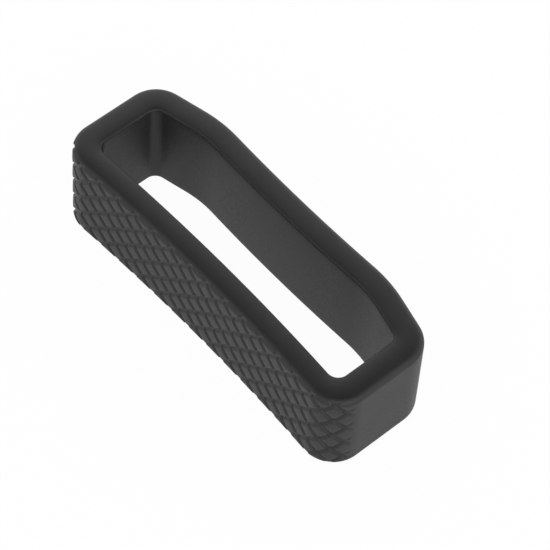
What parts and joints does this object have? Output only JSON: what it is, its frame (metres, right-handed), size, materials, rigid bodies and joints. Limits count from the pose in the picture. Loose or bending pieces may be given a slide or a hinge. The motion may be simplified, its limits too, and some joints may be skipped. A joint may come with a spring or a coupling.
{
  "type": "watch strap keeper",
  "caption": "One-piece moulded rubber loop that slides along a watch strap and holds its loose end flat, with a diamond-knurled outer face.",
  "frame": {"origin": "under the middle of the loop's outside, on the plane of its lower rim", "axes": "+X along the loop's wide side, +Y from the textured outer face to the wrist side, +Z along the strap passage"},
  "size_m": [0.0264, 0.0092, 0.0074],
  "materials": {
    "rubber": "matte"
  },
  "bodies": {
    "root": {"keeper_loop": "rubber"}
  },
  "joints": []
}
